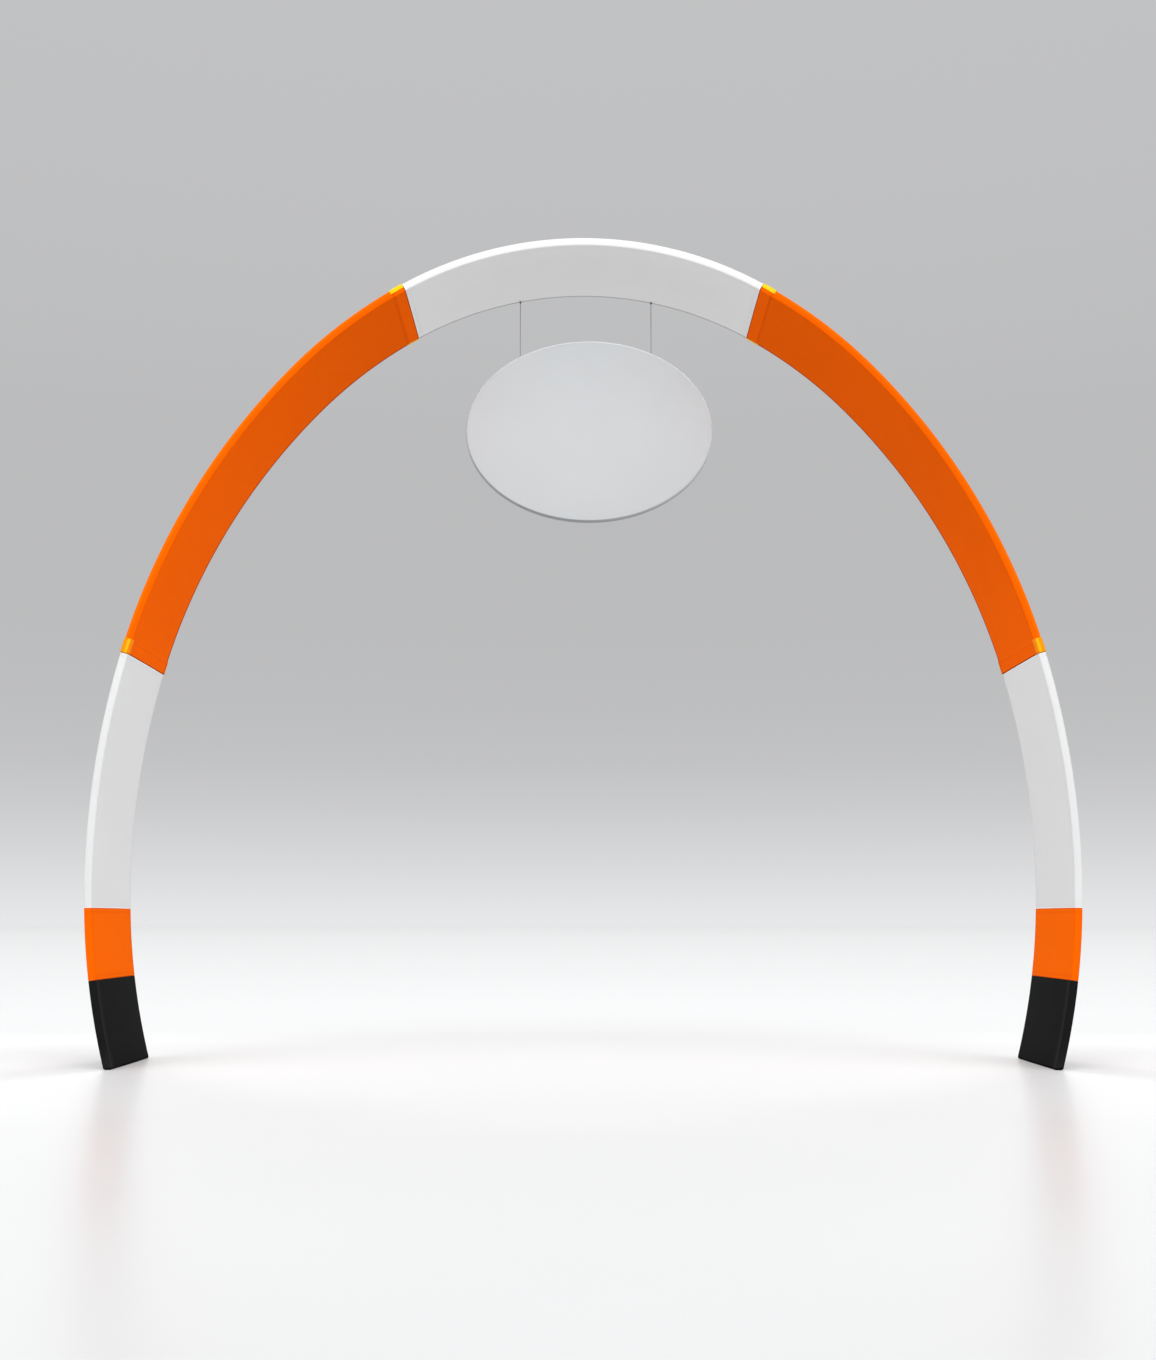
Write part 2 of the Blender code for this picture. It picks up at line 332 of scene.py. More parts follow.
def new_material(name, roughness, sheen=0.0, specular=0.5, tint=(1.0, 1.0, 1.0)):
    material = bpy.data.materials.new(name)
    material.use_nodes = True
    tree = material.node_tree
    shader = tree.nodes["Principled BSDF"]
    feed(tree, shader.inputs["Roughness"], roughness)
    feed(tree, shader.inputs["Sheen Weight"], sheen)
    feed(tree, shader.inputs["Sheen Tint"], tint)
    feed(tree, shader.inputs["Specular IOR Level"], specular)
    feed(tree, shader.inputs["Specular Tint"], tint)
    return material, tree, shader


def read_uv(tree):
    """Metres around and along the cloth."""
    uv = new_node(tree, "ShaderNodeUVMap", uv_map="cloth").outputs["UV"]
    split = new_node(tree, "ShaderNodeSeparateXYZ")
    feed(tree, split.inputs[0], uv)
    return split.outputs["X"], split.outputs["Y"]


def read_attribute(tree, name):
    return new_node(tree, "ShaderNodeAttribute", attribute_name=name).outputs["Fac"]


def read_place(tree):
    """The place on the piece in metres, whole and as X, Y and Z."""
    place = new_node(tree, "ShaderNodeTexCoord").outputs["Object"]
    split = new_node(tree, "ShaderNodeSeparateXYZ")
    feed(tree, split.inputs[0], place)
    return place, split.outputs["X"], split.outputs["Y"], split.outputs["Z"]


def around_one(tree, height, spread):
    """Turns a height from 0 to 1 into a tone that spreads evenly around 1."""
    return maths(tree, "MULTIPLY_ADD", height, spread, 1.0 - spread / 2)


def toned(tree, colour, tone):
    """A colour times a tone."""
    joined = new_node(tree, "ShaderNodeCombineColor")
    for socket in joined.inputs:
        feed(tree, socket, tone)
    return blend(tree, 1.0, colour, joined.outputs[0], mode="MULTIPLY")


def cloth_material(name, body, hem, hem_width, thread, end, rim, back_shade, tint):
    """Knitted cloth with sewn hems, corner seams and turned ends, with painted light on the
    front edge and the turned ends, and painted shade in the hem's crease and along the back
    edge.
    """
    material, tree, shader = new_material(name, roughness=0.90, sheen=0.03, specular=0.01,
                                          tint=tint)
    around, along = read_uv(tree)
    from_end = read_attribute(tree, "from_end")
    from_seam = read_attribute(tree, "from_seam")

    in_hem = maths(tree, "LESS_THAN", from_end, hem_width)
    shown_hem = maths(tree, "MULTIPLY", in_hem, read_attribute(tree, "hem_shows"))
    base = blend(tree, shown_hem, body, hem)
    # Painted light on the front edge: a lit white on the crown and legs, a lit orange on the
    # arms' outer rim, a shaded orange on the cuffs
    base = blend(tree, read_attribute(tree, "front_edge_painted_light"), base, rim)
    cloud = use_group(tree, MOTTLE, Scale=2.6, Spread=0.06)["Tone"]
    # The tone from the vertices carries the painted shade along the arms
    base = toned(tree, base, maths(tree, "MULTIPLY", cloud, read_attribute(tree, "tone")))
    knit = use_group(tree, KNIT, Around=around, Along=along, Pitch=KNIT_PITCH)["Height"]
    base = toned(tree, base, around_one(tree, knit, KNIT_TONE))

    # Painted shade in the crease where the hem turns back, in the thread's colour
    off_fold = maths(tree, "ABSOLUTE", maths(tree, "SUBTRACT", from_end, hem_width))
    fold = maths(tree, "SUBTRACT", 1.0, maths(tree, "DIVIDE", off_fold, FOLD_REACH), clamp=True)
    shown_fold = maths(tree, "MULTIPLY", fold, read_attribute(tree, "hem_shows"))
    base = blend(tree, maths(tree, "MULTIPLY", shown_fold, FOLD_SHADE), base, thread)
    hem_row = use_group(tree, STITCH, Distance=from_end, Along=around,
                        Offset=hem_width - ROW_FROM_FOLD, Width=STITCH_WIDTH,
                        Pitch=STITCH_PITCH)
    seam_row = use_group(tree, STITCH, Distance=from_seam, Along=along,
                         Offset=SEAM_FROM_CORNER, Width=STITCH_WIDTH, Pitch=STITCH_PITCH)
    stitches = maths(tree, "MAXIMUM", hem_row["Mask"], seam_row["Mask"])
    base = blend(tree, maths(tree, "MULTIPLY", stitches, STITCH_SHADE), base, thread)
    # Painted light at the turned ends: a highlight on the white sleeves, shade in the joint on
    # the orange ones
    base = blend(tree, maths(tree, "LESS_THAN", from_end, END_FOLD), base, end)
    # Painted shade along the soffit's back edge, where the rounded back corner turns away from
    # the light
    at_back = maths(tree, "LESS_THAN", read_attribute(tree, "from_back"), BACK_SHADE_WIDTH)
    dark = maths(tree, "MULTIPLY", at_back, read_attribute(tree, "back_edge_shade"))
    feed(tree, shader.inputs["Base Color"], blend(tree, dark, base, back_shade))

    fine = bump(tree, knit, KNIT_BUMP, strength=0.5)
    feed(tree, shader.inputs["Normal"], bump(tree, stitches, STITCH_BUMP, normal=fine))
    return material


def webbing_material(name, outer, middle, inner):
    """Woven webbing with ribs across it, in bands of tone from the outer face inwards, the last
    of them painted shade where the webbing wraps the inner corner.
    """
    material, tree, shader = new_material(name, roughness=0.70, sheen=0.03, specular=0.08,
                                          tint=(1.0, 0.7, 0.2))
    around, along = read_uv(tree)
    across = read_attribute(tree, "tab_across")
    base = blend(tree, maths(tree, "GREATER_THAN", across, WEBBING_BREAKS[0]), outer, middle)
    base = blend(tree, maths(tree, "GREATER_THAN", across, WEBBING_BREAKS[1]), base, inner)
    ribs = maths(tree, "SINE", maths(tree, "MULTIPLY", along, 2.0 * math.pi / WEBBING_RIB))
    twill = maths(tree, "SINE", maths(tree, "MULTIPLY", around, 2.0 * math.pi / WEBBING_TWILL))
    weave = maths(tree, "MULTIPLY_ADD", maths(tree, "ADD", ribs, twill), 0.25, 0.5)
    base = toned(tree, base, around_one(tree, weave, WEBBING_TONE))
    rows = use_group(tree, STITCH, Distance=read_attribute(tree, "from_end"), Along=around,
                     Offset=TAB_ROW_INSET, Width=STITCH_WIDTH, Pitch=TAB_STITCH_PITCH)
    base = blend(tree, maths(tree, "MULTIPLY", rows["Mask"], TAB_STITCH_SHADE), base, DARK_AMBER)
    feed(tree, shader.inputs["Base Color"], base)
    feed(tree, shader.inputs["Normal"], bump(tree, weave, WEBBING_BUMP))
    return material


def shoe_material(name):
    """Moulded black plastic: fine grain and faint scuffs low down, a painted highlight as a
    paler band down the face by the front edge, and painted shade along the rounded sole.
    """
    material, tree, shader = new_material(name, roughness=SHOE_ROUGHNESS, specular=0.01)
    place, _, y, z = read_place(tree)
    low = maths(tree, "SUBTRACT", 1.0, maths(tree, "DIVIDE", z, RUB_HEIGHT), clamp=True)
    rub = maths(tree, "MULTIPLY", low, noise(tree, place, RUB_SCALE, detail=5.0, roughness=0.7))
    base = toned(tree, BLACK, use_group(tree, MOTTLE, Scale=9.0, Spread=0.4)["Tone"])
    base = blend(tree, maths(tree, "MULTIPLY", rub, RUB_SHARE), base, RUB_GREY)
    # Painted highlight: a paler band down the face beside the front edge
    off_highlight = maths(tree, "ABSOLUTE", maths(tree, "ADD", y, HIGHLIGHT_FROM_MIDDLE))
    painted_highlight = maths(tree, "SUBTRACT", 1.0, maths(tree, "DIVIDE", off_highlight, HIGHLIGHT_REACH),
                   clamp=True)
    base = toned(tree, base, maths(tree, "MULTIPLY_ADD", painted_highlight, HIGHLIGHT_GAIN, 1.0))
    # Painted shade along the rounded sole, where it meets the floor
    sole_in_shade = maths(tree, "LESS_THAN", z, SOLE_BEVEL)
    base = toned(tree, base, maths(tree, "MULTIPLY_ADD", sole_in_shade, -SOLE_SHADE, 1.0))
    feed(tree, shader.inputs["Base Color"], base)
    rough = maths(tree, "MULTIPLY_ADD", rub, RUB_ROUGHER, SHOE_ROUGHNESS)
    feed(tree, shader.inputs["Roughness"], rough)
    grain = noise(tree, place, GRAIN_SCALE, detail=2.0)
    feed(tree, shader.inputs["Normal"], bump(tree, grain, GRAIN_BUMP, strength=0.6))
    return material


def board_material(name):
    """A pale foam board with a faint tooth, painted lighter towards the top, its rounded edge
    painted as a highlight and its side wall dark grey as painted shade.

    The board stands upright, so the depth behind its face tells face, rounded edge and side wall
    apart.
    """
    material, tree, shader = new_material(name, roughness=0.62, specular=0.04)
    low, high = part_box("sign_board")
    place, x, y, z = read_place(tree)
    off_middle = maths(tree, "ABSOLUTE", maths(tree, "SUBTRACT", y, (low[1] + high[1]) / 2))
    depth = maths(tree, "SUBTRACT", (high[1] - low[1]) / 2, off_middle)
    raised = maths(tree, "DIVIDE", maths(tree, "SUBTRACT", z, low[2]), high[2] - low[2])
    # Painted light: the face lighter towards the top
    skin_light = maths(tree, "MULTIPLY_ADD", raised, SKIN_LIGHT_RISE, SKIN_LIGHT_LOW)
    skin = toned(tree, SIGN_GREY, skin_light)
    # Painted highlight on the rounded edge: near white, brighter towards the top and right,
    # bluer at the sides
    sideways = maths(tree, "DIVIDE", maths(tree, "SUBTRACT", x, low[0]), high[0] - low[0])
    trim_highlight = maths(tree, "MULTIPLY_ADD", raised, TRIM_HIGHLIGHT_RISE, TRIM_HIGHLIGHT_LOW)
    trim_highlight = maths(tree, "MULTIPLY_ADD", sideways, TRIM_HIGHLIGHT_TO_RIGHT, trim_highlight)
    off_centre = maths(tree, "ABSOLUTE", maths(tree, "MULTIPLY_ADD", sideways, 2.0, -1.0))
    highlight_trim = blend(tree, maths(tree, "POWER", off_centre, 2.0), SIGN_TRIM_HIGHLIGHT, SIGN_SIDE_TRIM_HIGHLIGHT)
    highlight_trim = toned(tree, highlight_trim, trim_highlight)
    base = blend(tree, maths(tree, "GREATER_THAN", depth, SKIN_DEEP), skin, highlight_trim)
    # Painted shade: the side wall behind the rounded edge is dark grey, as shade under the board
    past_trim = maths(tree, "GREATER_THAN", depth, SIGN_BEVEL - SKIN_DEEP)
    base = blend(tree, past_trim, base, SIGN_SIDE_SHADE)
    base = toned(tree, base, use_group(tree, MOTTLE, Scale=3.0, Spread=0.05)["Tone"])
    feed(tree, shader.inputs["Base Color"], base)
    tooth = noise(tree, place, TOOTH_SCALE, detail=3.0)
    feed(tree, shader.inputs["Normal"], bump(tree, tooth, TOOTH_BUMP, strength=0.5))
    return material


def line_material(name, colour):
    """Braided line: two sets of strands crossing on a slant."""
    material, tree, shader = new_material(name, roughness=0.6, sheen=0.1)
    _, x, _, z = read_place(tree)
    climb = maths(tree, "MULTIPLY", z, 2.0 * math.pi / STRAND_PITCH)
    sway = maths(tree, "MULTIPLY", x, 2.0 * math.pi / STRAND_PITCH)
    right = maths(tree, "SINE", maths(tree, "ADD", climb, sway))
    left = maths(tree, "SINE", maths(tree, "SUBTRACT", climb, sway))
    strands = maths(tree, "MULTIPLY_ADD", maths(tree, "MULTIPLY", right, left), 0.5, 0.5)
    tone = around_one(tree, strands, STRAND_TONE)
    feed(tree, shader.inputs["Base Color"], toned(tree, colour, tone))
    feed(tree, shader.inputs["Normal"], bump(tree, strands, STRAND_BUMP))
    return material


ORANGE_TINT = (1.0, 0.18, 0.01)
WHITE_CLOTH = cloth_material("white_cloth", WHITE, WHITE, PLAIN_HEM, WHITE_THREAD, WHITE_END_HIGHLIGHT,
                             WHITE_EDGE_LIT, WHITE_BACK_SHADE, tint=(1.0, 1.0, 1.0))
ORANGE_CLOTH = cloth_material("orange_cloth", ORANGE, ORANGE_HEM, HEM_LENGTH, ORANGE_THREAD,
                              ORANGE_END_SHADE, ORANGE_RIM_LIT, ORANGE_BACK_SHADE, ORANGE_TINT)
CUFF_CLOTH = cloth_material("cuff_cloth", CUFF_ORANGE, CUFF_ORANGE, PLAIN_HEM, CUFF_THREAD,
                            CUFF_END_SHADE, CUFF_EDGE_SHADED, ORANGE_BACK_SHADE, ORANGE_TINT)
# The last colour of each webbing is the painted shade where it wraps the band's inner corner
UPPER_WEBBING = webbing_material("upper_webbing", YELLOW, YELLOW, YELLOW)
LOWER_WEBBING = webbing_material("lower_webbing", AMBER, GOLD, TAWNY)
UPPER_BACK_WEBBING = webbing_material("upper_back_webbing", YELLOW, GOLD, PALE_GOLD)
LOWER_BACK_WEBBING = webbing_material("lower_back_webbing", YELLOW, GOLD, BURNT_AMBER)
SHOE = shoe_material("black_shoe")
BOARD = board_material("sign_face")
LINE = line_material("line_grey", LINE_GREY)
KNOT = line_material("knot_grey", KNOT_GREY)


# The hoop

def outline_arcs():
    """One record for each stretch of the right half, from the top down.

    Turn is how far the band has turned downwards, and x and z are the arc's centre.
    """
    arcs = []
    start, turn = 0.0, 0.0
    x, z = 0.0, ARCH_TOP
    for name, length, radius in STRETCHES:
        arc = {
            "name": name, "start": start, "end": start + length, "radius": radius,
            "turn": turn,
            "x": x - radius * math.sin(turn), "z": z - radius * math.cos(turn),
        }
        arcs.append(arc)
        start += length
        turn += length / radius
        x = arc["x"] + radius * math.sin(turn)
        z = arc["z"] + radius * math.cos(turn)
    return arcs


ARCS = outline_arcs()
JOINT = {arc["name"]: arc["start"] for arc in ARCS}


def band_point(distance, y, inwards, side=1.0):
    """The point at a distance along the outer face, y deep and inwards from that face.

    A negative distance lies on the other half, and side -1 mirrors the whole.
    """
    reach_from_top = abs(distance)
    arc = next((arc for arc in ARCS if reach_from_top <= arc["end"]), ARCS[-1])
    turn = arc["turn"] + (reach_from_top - arc["start"]) / arc["radius"]
    reach = arc["radius"] - inwards
    x = arc["x"] + reach * math.sin(turn)
    return Vector((side * math.copysign(x, distance), y, arc["z"] + reach * math.cos(turn)))


def spaced(start, end, step):
    """Places from start to end, both included, no further apart than the step."""
    count = max(1, math.ceil(abs(end - start) / step))
    return [start + (end - start) * i / count for i in range(count + 1)]


def corner_turn(centre_y, centre_in, first_degrees):
    """Points and outward directions of a rounded corner, over a quarter turn."""
    points = []
    for step in range(CORNER_CUTS + 1):
        turn = math.radians(first_degrees + 90.0 * step / CORNER_CUTS)
        out_y, out_in = math.cos(turn), math.sin(turn)
        points.append((centre_y + CORNER_RADIUS * out_y, centre_in + CORNER_RADIUS * out_in,
                       out_y, out_in))
    return points


def broad_columns(toward):
    """Y places across a broad face, closer together beside the seams."""
    last = CORNER_AT - SEAM_COLUMNS[-1]
    places = [-CORNER_AT + inset for inset in SEAM_COLUMNS[:-1]]
    places += spaced(-last, last, COLUMN_STEP)
    places += [CORNER_AT - inset for inset in reversed(SEAM_COLUMNS[:-1])]
    return [toward * place for place in places]


def bow(y):
    """How far a broad face leans towards the passage at a depth of y."""
    flat_from = BAND_DEPTH / 2 - FACE_MARGIN
    return FACE_BOW * max(0.0, 1.0 - (y / flat_from) ** 2)


def edge_bulge(inwards):
    """How far a narrow edge swells out, at a distance inwards from the outer face."""
    share = (inwards - BAND_THICKNESS / 2) / (BAND_THICKNESS / 2 - CORNER_RADIUS)
    return EDGE_BULGE * max(0.0, 1.0 - share ** 2)


def band_loop():
    """The band's outline as columns (y, inwards, out_y, out_in, face), closed on itself.

    It starts and ends at the middle of the outer face, and passes the back edge first.
    """
    near, far = CORNER_RADIUS, BAND_THICKNESS - CORNER_RADIUS

    def broad(places, inwards, out_in, face):
        return [(y, inwards + bow(y), 0.0, out_in, face) for y in places]

    def narrow(direction, face):
        places = spaced(near, far, (far - near) / EDGE_CUTS)[1:-1]
        if direction < 0.0:
            places.reverse()
        return [(direction * (BAND_DEPTH / 2 + edge_bulge(i)), i, direction, 0.0, face)
                for i in places]

    def rounded(centre_y, centre_in, first_degrees):
        return [(*point, "corner") for point in corner_turn(centre_y, centre_in, first_degrees)]

    outer = broad_columns(1.0)
    front_half = [y for y in outer if y < -1e-6]
    back_half = [y for y in outer if y > 1e-6]
    loop = broad([0.0] + back_half, 0.0, -1.0, "outer")
    loop += rounded(CORNER_AT, near, 270.0)
    loop += narrow(1.0, "back")
    loop += rounded(CORNER_AT, far, 0.0)
    loop += broad(broad_columns(-1.0), BAND_THICKNESS, 1.0, "soffit")
    loop += rounded(-CORNER_AT, far, 90.0)
    loop += narrow(-1.0, "front")
    loop += rounded(-CORNER_AT, near, 180.0)
    loop += broad(front_half + [0.0], 0.0, -1.0, "outer")
    return loop


BAND_LOOP = band_loop()


def along_loop(columns):
    """Metres from the first column to each."""
    total, metres = 0.0, [0.0]
    for before, here in zip(columns, columns[1:]):
        total += math.hypot(here[0] - before[0], here[1] - before[1])
        metres.append(total)
    return metres


LOOP_METRES = along_loop(BAND_LOOP)

# Creases in the stretched cloth: soft troughs that run from the joints and the corners
CREASES = (
    # face, metres from the sleeve's end, y at the middle, slant in degrees, length, width, depth
    ("soffit", 0.090, -0.200, 62.0, 0.260, 0.020, 0.0011),
    ("soffit", 0.120, 0.190, -55.0, 0.300, 0.024, 0.0010),
    ("soffit", 0.210, -0.080, 74.0, 0.340, 0.030, 0.0007),
    ("soffit", 0.160, 0.050, -80.0, 0.240, 0.026, 0.0006),
    ("outer", 0.100, -0.180, 60.0, 0.280, 0.022, 0.0011),
    ("outer", 0.140, 0.210, -58.0, 0.260, 0.024, 0.0010),
    ("outer", 0.240, 0.020, 78.0, 0.360, 0.032, 0.0007),
)
FAR_END_FACTOR = 1.15
CALM_REACH = 0.05
RIPPLE_DEPTH = 0.00035
PHASE_BY_START, PHASE_ON_RIGHT = 3.0, 1.3
RIPPLES = (
    # radians for each metre along and across the sleeve, share of the sleeve's phase
    (13.0, 5.0, 1.0),
    (7.3, -8.0, 2.1),
)


def crease_depth(face, from_start, length, y, flip):
    """How far the cloth sinks here, over all creases at both ends of the sleeve."""
    depth = 0.0
    for crease_face, place, middle, slant, crease_length, width, deepest in CREASES:
        if crease_face != face:
            continue
        for end_place, turned in ((place, flip), (length - place * FAR_END_FACTOR, -flip)):
            if abs(from_start - end_place) > crease_length:
                continue
            tilt = math.radians(slant * turned)
            dx, dy = y - middle * turned, from_start - end_place
            with_it = dx * math.cos(tilt) + dy * math.sin(tilt)
            off_it = -dx * math.sin(tilt) + dy * math.cos(tilt)
            fade = max(0.0, 1.0 - (2.0 * with_it / crease_length) ** 2) ** 1.5
            depth += deepest * fade * math.exp(-(off_it / width) ** 2)
    return depth


def ripple(face, from_start, y, phase):
    """Broad, faint waves over the stretched faces, none at the corners."""
    if face not in ("soffit", "outer"):
        return 0.0
    hold = max(0.0, 1.0 - (2.0 * y / BAND_DEPTH) ** 4)
    waves = sum(math.sin(from_start * along + y * across + phase * share)
                for along, across, share in RIPPLES)
    return RIPPLE_DEPTH * hold * waves


FOLD_ROWS = (
    # metres from the sleeve's end, how far the cloth stands proud
    (0.0100, -0.0060), (0.0022, -0.0052), (0.0005, -0.0036), (0.0, -0.0022),
    (0.0004, -0.0010), (0.0013, -0.0002), (0.0030, 0.0),
)
HEM_ROWS = (
    # the same, for a hem of two layers and the step at its inner end
    (0.020, HEM_PROUD), (0.040, HEM_PROUD), (HEM_LENGTH - 0.008, HEM_PROUD),
    (HEM_LENGTH, HEM_PROUD), (HEM_LENGTH + 0.0015, HEM_PROUD * 0.4),
    (HEM_LENGTH + HEM_STEP, 0.0),
)


def sleeve_rows(start, end, hemmed):
    """(distance, grow) for each row of a sleeve: each end is turned in over a small fold."""
    proud = HEM_PROUD if hemmed else 0.0
    end_rows = [(reach, proud + grow) for reach, grow in FOLD_ROWS]
    if hemmed:
        end_rows += HEM_ROWS
    first, last = start + PIECE_GAP / 2, end - PIECE_GAP / 2
    inner_first, inner_last = first + end_rows[-1][0], last - end_rows[-1][0]
    breaks = [arc["start"] for arc in ARCS if inner_first < arc["start"] < inner_last]
    if not hemmed:
        breaks = [inner_first + PLAIN_HEM, *breaks, inner_last - PLAIN_HEM]
    breaks = [inner_first, *breaks, inner_last]
    rows = [(first + reach, grow) for reach, grow in end_rows]
    for low, high in zip(breaks, breaks[1:]):
        rows += [(distance, 0.0) for distance in spaced(low, high, ROW_STEP)[1:]]
    rows += [(last - reach, grow) for reach, grow in reversed(end_rows[:-1])]
    return rows


def add_piece(name, bm, material):
    """Makes a smooth piece of the mesh, which rides on the arch's one body."""
    for face in bm.faces:
        face.smooth = True
    mesh = bpy.data.meshes.new(name)
    bm.to_mesh(mesh)
    bm.free()
    mesh.materials.append(material)
    piece = bpy.data.objects.new(name, mesh)
    bpy.context.scene.collection.objects.link(piece)
    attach(piece, "root")
    return piece


def grid_cloth(rows, columns, values):
    """A flat grid of cloth, and its vertices row by row, with named values to paint on them."""
    bm = bmesh.new()
    bm.loops.layers.uv.new("cloth")
    layers = [bm.verts.layers.float.new(name) for name in values]
    bmesh.ops.create_grid(bm, x_segments=columns - 1, y_segments=rows - 1, size=0.5)
    ordered = sorted(bm.verts, key=lambda v: (round(v.co.y, 6), round(v.co.x, 6)))
    return bm, [ordered[r * columns:(r + 1) * columns] for r in range(rows)], layers


def set_cloth_uv(bm, metres):
    """Writes metres around and along to the UV map, from a table of vertices."""
    uv = bm.loops.layers.uv["cloth"]
    for face in bm.faces:
        for loop in face.loops:
            loop[uv].uv = metres[loop.vert]


def face_outwards(bm, inside):
    """Turns the faces away from a point inside the sleeve, judged by the face nearest to it."""
    bmesh.ops.recalc_face_normals(bm, faces=bm.faces)
    near = min(bm.faces, key=lambda face: (face.calc_center_median() - inside).length)
    if near.normal.dot(near.calc_center_median() - inside) < 0.0:
        bmesh.ops.reverse_faces(bm, faces=bm.faces)


def thicken(piece, thickness, offset):
    """Gives a sheet its wall, as a live modifier."""
    wall = piece.modifiers.new("cloth wall", "SOLIDIFY")
    wall.thickness = thickness
    wall.offset = offset
    wall.use_even_offset = True


def tone_along(tones, share):
    """A tone between three, at the start, middle and end of a sleeve."""
    if share < 0.5:
        return tones[0] + (tones[1] - tones[0]) * 2.0 * share
    return tones[1] + (tones[2] - tones[1]) * (2.0 * share - 1.0)


def make_sleeve(name, node, start, end, side, material, back_dark, hemmed=False,
                tones=(1.0, 1.0, 1.0)):
    """A cut of cloth wrapped round the band and sewn shut along the middle of the outer face."""
    rows = sleeve_rows(start, end, hemmed)
    values = ("from_end", "hem_shows", "from_seam", "from_back", "back_edge_shade", "front_edge_painted_light",
              "tone")
    bm, table, layers = grid_cloth(len(rows), len(BAND_LOOP), values)
    from_end, hem_shows, from_seam, from_back, back_edge_shade, front_edge_painted_light, tone = layers
    length = end - start
    phase = PHASE_BY_START * start + (PHASE_ON_RIGHT if side > 0.0 else 0.0)
    metres = {}
    for (distance, grow), line in zip(rows, table):
        into = distance - start
        for column, vert, around in zip(BAND_LOOP, line, LOOP_METRES):
            y, inwards, out_y, out_in, face = column
            sink = crease_depth(face, into, length, y, side) + ripple(face, into, y, phase)
            calm = min(1.0, min(into, length - into) / CALM_REACH)
            lift = grow - sink * calm
            vert.co = band_point(distance, y + out_y * lift, inwards + out_in * lift, side)
            vert[from_end] = min(into, length - into)
            near_hem = into < length / 2 or not hemmed
            vert[hem_shows] = NEAR_HEM_SHOWS if near_hem else FAR_HEM_SHOWS
            vert[from_seam] = CORNER_AT - abs(y) if face in ("soffit", "outer") else OFF_SEAM
            vert[from_back] = CORNER_AT - y if inwards > BAND_THICKNESS / 2 else OFF_BACK
            vert[back_edge_shade] = back_dark
            # Where the front edge's painted light goes: all of the front edge, or its outer part
            # on a hemmed sleeve
            at_front = y < 0.0 and face in ("corner", "front")
            if not hemmed:
                vert[front_edge_painted_light] = 1.0 if at_front else 0.0
            else:
                at_rim = at_front and inwards < HEMMED_RIM_INWARDS
                vert[front_edge_painted_light] = HEMMED_RIM_LIGHT if at_rim else 0.0
            vert[tone] = tone_along(tones, into / length)
            metres[vert] = (around, distance)
    set_cloth_uv(bm, metres)
    bmesh.ops.remove_doubles(bm, verts=bm.verts, dist=1e-6)
    middle = band_point((start + end) / 2, 0.0, BAND_THICKNESS / 2, side)
    face_outwards(bm, middle)
    piece = add_piece(name, bm, material)
    thicken(piece, CLOTH_THICKNESS, -1.0)
    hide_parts(node)


# Webbing tabs, end shoes, sign board and lines

def tab_columns(whole_edge):
    """(y, inwards, out_y, out_in) round the front edge, from the outer face inwards."""
    near, far = CORNER_RADIUS, BAND_THICKNESS - CORNER_RADIUS
    lip = spaced(-CORNER_AT + TAB_LIP, -CORNER_AT, TAB_LIP / 2)[:-1]
    columns = [(y, 0.0, 0.0, -1.0) for y in lip]
    columns += corner_turn(-CORNER_AT, near, 180.0)[::-1]
    last = far if whole_edge else BAND_THICKNESS / 2 + TAB_PAST_MIDDLE
    flat = spaced(near, last, (far - near) / EDGE_CUTS)[1:]
    if whole_edge:
        flat = flat[:-1]
    columns += [(-BAND_DEPTH / 2 - edge_bulge(i), i, -1.0, 0.0) for i in flat]
    if whole_edge:
        columns += corner_turn(-CORNER_AT, far, 90.0)[::-1]
        columns += [(y, BAND_THICKNESS, 0.0, 1.0) for y in reversed(lip)]
    return columns


def make_tab(word_end, word_edge, word_side, hem_start):
    """Webbing folded over one edge of the band, over the length of a hem."""
    side = 1.0 if word_side == "right" else -1.0
    turn_y = -1.0 if word_edge == "back" else 1.0
    whole_edge = word_edge == "back" or word_end == "lower"
    columns = tab_columns(whole_edge)
    metres_across = along_loop(columns)
    first, last = hem_start + TAB_TO_JOINT, hem_start + HEM_LENGTH + TAB_PAST_HEM
    if word_end == "lower":
        first, last = hem_start - TAB_PAST_HEM, hem_start + HEM_LENGTH - TAB_TO_JOINT
    rows = spaced(first, last, TAB_STEP)
    bm, table, layers = grid_cloth(len(rows), len(columns), ("from_end", "tab_across"))
    from_end, tab_across = layers
    metres = {}
    for distance, line in zip(rows, table):
        past = max(hem_start - distance, distance - hem_start - HEM_LENGTH, 0.0)
        proud = HEM_PROUD * max(0.0, 1.0 - past / TAB_SETTLES)
        lift = proud + PIECE_GAP + TAB_THICKNESS / 2
        for (y, inwards, out_y, out_in), vert, across in zip(columns, line, metres_across):
            vert.co = band_point(
                distance, turn_y * (y + out_y * lift), inwards + out_in * lift, side)
            vert[from_end] = min(distance - rows[0], rows[-1] - distance)
            vert[tab_across] = inwards / BAND_THICKNESS
            metres[vert] = (across, distance)
    set_cloth_uv(bm, metres)
    face_outwards(bm, band_point((rows[0] + rows[-1]) / 2, 0.0, BAND_THICKNESS / 2, side))
    material = UPPER_WEBBING if word_end == "upper" else LOWER_WEBBING
    if word_edge == "back":
        material = UPPER_BACK_WEBBING if word_end == "upper" else LOWER_BACK_WEBBING
    node = "tab_{}_{}_{}".format(word_end, word_edge, word_side)
    piece = add_piece("webbing_{}_{}_{}".format(word_end, word_edge, word_side), bm, material)
    thicken(piece, TAB_THICKNESS, 0.0)
    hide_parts(node)


SHOE_ROWS = (
    # metres from the shoe's upper end, how far it stands proud
    (0.0, -0.0030), (0.0006, -0.0012), (0.0020, -0.0003), (0.0040, 0.0),
)


